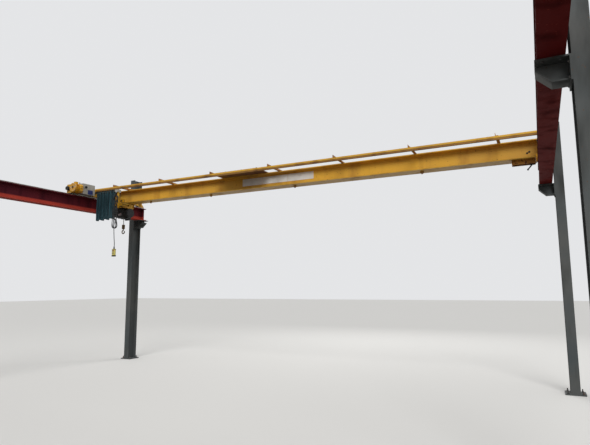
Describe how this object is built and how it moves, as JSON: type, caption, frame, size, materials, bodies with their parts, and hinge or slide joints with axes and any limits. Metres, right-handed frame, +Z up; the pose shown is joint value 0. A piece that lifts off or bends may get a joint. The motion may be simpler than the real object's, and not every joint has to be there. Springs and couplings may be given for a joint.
{
  "type": "overhead bridge crane",
  "caption": "Single-girder overhead bridge crane with an underslung hoist trolley, cable loops on a side track, and two runways on columns.",
  "frame": {"origin": "on the floor, at the centre of the base plates' outline", "axes": "+X along the girder, +Y along the runways towards the end where the bridge is parked, +Z up"},
  "size_m": [9.303, 9.88, 4.2],
  "materials": {
    "column_paint": "satin, dusty",
    "maroon_paint": "matt primer",
    "rail_steel": "worn running top",
    "crane_yellow": "gloss enamel",
    "bright_steel": "machined",
    "track_yellow": "satin",
    "cowl_metal": "pressed sheet",
    "black_rubber": "matt",
    "box_grey": "powder coat",
    "carrier_metal": "satin",
    "cable_green": "satin sheath",
    "cable_black": "satin sheath",
    "hoist_dark": "satin",
    "hook_steel": "satin",
    "pendant_yellow": "moulded"
  },
  "bodies": {
    "runway": {"left_columns": "column_paint", "right_columns": "column_paint", "base_plates": "column_paint", "brackets": "column_paint", "left_runway_beam": "maroon_paint", "right_runway_beam": "maroon_paint", "runway_rails": "rail_steel", "end_stops": "crane_yellow"},
    "bridge": {"main_girder": "crane_yellow", "end_plates": "crane_yellow", "left_end_truck": "crane_yellow", "right_end_truck": "crane_yellow", "truck_wheels": "bright_steel", "buffers": "black_rubber", "side_beam": "crane_yellow", "cable_track": "track_yellow", "side_beam_arms": "crane_yellow", "girder_lugs": "crane_yellow", "trolley_stops": "crane_yellow", "drive_gearboxes": "crane_yellow", "drive_motors": "crane_yellow", "motor_cowls": "cowl_metal", "control_box": "box_grey", "control_box_door": "box_grey", "festoon_clamp": "carrier_metal", "festoon_cable": "cable_green"},
    "trolley": {"trolley_side_plates": "crane_yellow", "trolley_end_plates": "crane_yellow", "trolley_wheels": "bright_steel", "trolley_tie_bars": "bright_steel", "hoist_body": "hoist_dark", "hoist_motor": "hoist_dark", "hoist_gear_cover": "hoist_dark", "chain_bucket": "black_rubber", "load_chain": "bright_steel", "hook": "hook_steel", "tow_arm": "crane_yellow", "lead_carriage": "carrier_metal", "pendant_cable": "cable_black", "cable_hank": "cable_black", "pendant": "pendant_yellow"},
    "carrier_1": {"festoon_carrier_1": "carrier_metal"},
    "carrier_2": {"festoon_carrier_2": "carrier_metal"},
    "carrier_3": {"festoon_carrier_3": "carrier_metal"},
    "carrier_4": {"festoon_carrier_4": "carrier_metal"},
    "carrier_5": {"festoon_carrier_5": "carrier_metal"},
    "carrier_6": {"festoon_carrier_6": "carrier_metal"}
  },
  "joints": [
    {"name": "bridge_travel", "type": "slide", "parent": "runway", "child": "bridge", "axis": [0, 1, 0], "range_m": [-7.44, 0.04]},
    {"name": "trolley_travel", "type": "slide", "parent": "bridge", "child": "trolley", "axis": [1, 0, 0], "range_m": [0, 7.7], "deforming": ["festoon_cable"]},
    {"name": "carrier_1_roll", "type": "slide", "parent": "bridge", "child": "carrier_1", "axis": [1, 0, 0], "range_m": [-0.01, 0.437]},
    {"name": "carrier_2_roll", "type": "slide", "parent": "bridge", "child": "carrier_2", "axis": [1, 0, 0], "range_m": [-0.01, 1.537]},
    {"name": "carrier_3_roll", "type": "slide", "parent": "bridge", "child": "carrier_3", "axis": [1, 0, 0], "range_m": [-0.01, 3.041]},
    {"name": "carrier_4_roll", "type": "slide", "parent": "bridge", "child": "carrier_4", "axis": [1, 0, 0], "range_m": [-0.01, 4.679]},
    {"name": "carrier_5_roll", "type": "slide", "parent": "bridge", "child": "carrier_5", "axis": [1, 0, 0], "range_m": [-0.01, 6.183]},
    {"name": "carrier_6_roll", "type": "slide", "parent": "bridge", "child": "carrier_6", "axis": [1, 0, 0], "range_m": [-0.01, 7.283]}
  ],
  "couplings": [
    {"joint": "carrier_1_roll", "follows": "trolley_travel", "ratio": 0.0554},
    {"joint": "carrier_2_roll", "follows": "trolley_travel", "ratio": 0.1983},
    {"joint": "carrier_3_roll", "follows": "trolley_travel", "ratio": 0.3936},
    {"joint": "carrier_4_roll", "follows": "trolley_travel", "ratio": 0.6064},
    {"joint": "carrier_5_roll", "follows": "trolley_travel", "ratio": 0.8017},
    {"joint": "carrier_6_roll", "follows": "trolley_travel", "ratio": 0.9446}
  ]
}
